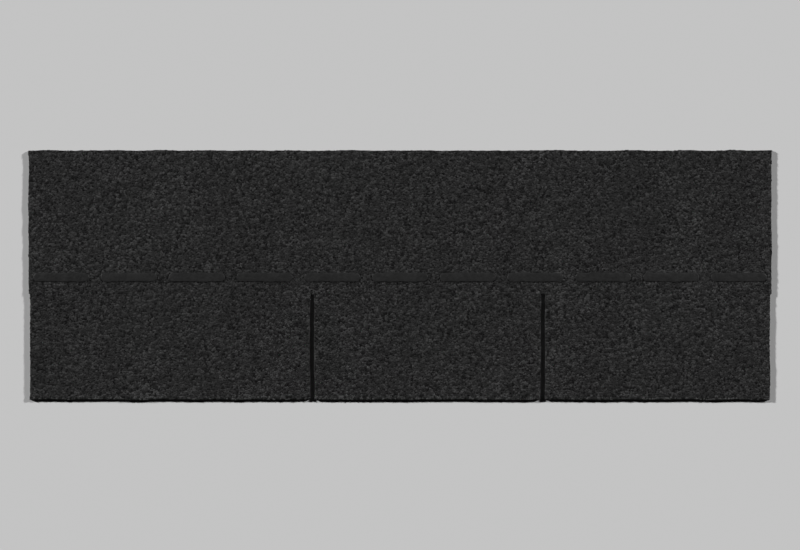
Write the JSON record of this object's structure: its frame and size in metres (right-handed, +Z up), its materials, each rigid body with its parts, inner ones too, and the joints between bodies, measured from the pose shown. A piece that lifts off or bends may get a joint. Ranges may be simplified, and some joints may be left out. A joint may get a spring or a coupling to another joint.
{
  "type": "three-tab asphalt shingle strip",
  "caption": "Flat asphalt roofing shingle with slotted tabs along its butt edge, a row of adhesive dashes above the slots and a release film on its back.",
  "frame": {"origin": "centre of the strip's back, on the surface that it lies on", "axes": "+X along the strip, to the right as seen from above with the tabs towards the viewer; +Y from the butt edge of the tabs to the top edge; +Z up, out of the granule face"},
  "size_m": [1, 0.337, 0.0038],
  "materials": {
    "granules": "rough charcoal-black mineral granules pressed into asphalt",
    "adhesive": "slightly glossy black self-seal asphalt",
    "film": "thin clear polyester tape over black asphalt"
  },
  "bodies": {
    "root": {"shingle_strip": "granules", "adhesive_strip": "adhesive", "release_film": "film"}
  },
  "joints": []
}
